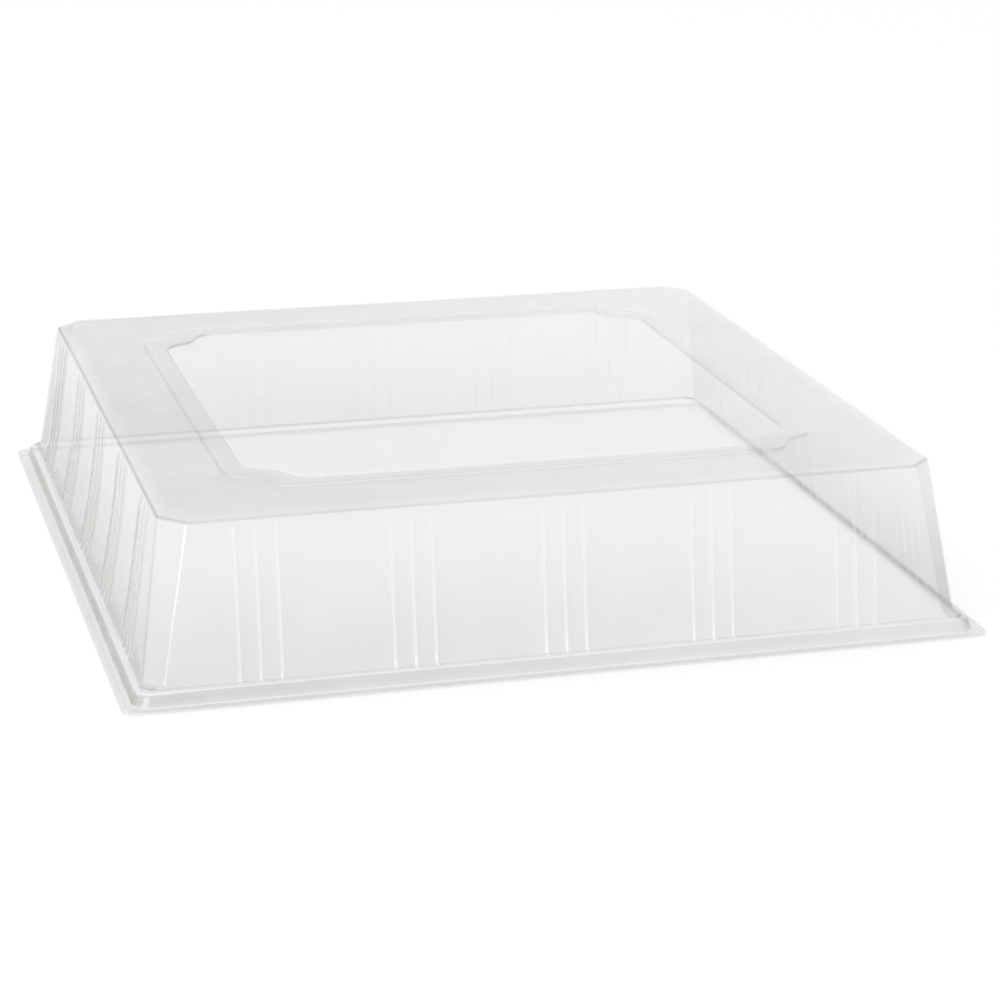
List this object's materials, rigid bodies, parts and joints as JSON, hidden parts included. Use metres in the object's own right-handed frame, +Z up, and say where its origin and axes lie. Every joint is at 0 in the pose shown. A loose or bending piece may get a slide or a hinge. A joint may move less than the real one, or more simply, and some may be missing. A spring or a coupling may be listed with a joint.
{
  "type": "humidity dome",
  "caption": "Clear thermoformed humidity dome with leaning ribbed walls, chamfered corners and a stepped flange that rests on a square seedling tray.",
  "frame": {"origin": "centre of the resting face of the flange lip, on the face that sits on the tray", "axes": "+Z up through the top panel, +X along the front wall, +Y towards the back wall"},
  "size_m": [0.28, 0.28, 0.0552],
  "materials": {
    "clear_sheet": "clear glossy thermoformed PET sheet"
  },
  "bodies": {
    "root": {"dome": "clear_sheet"}
  },
  "joints": []
}
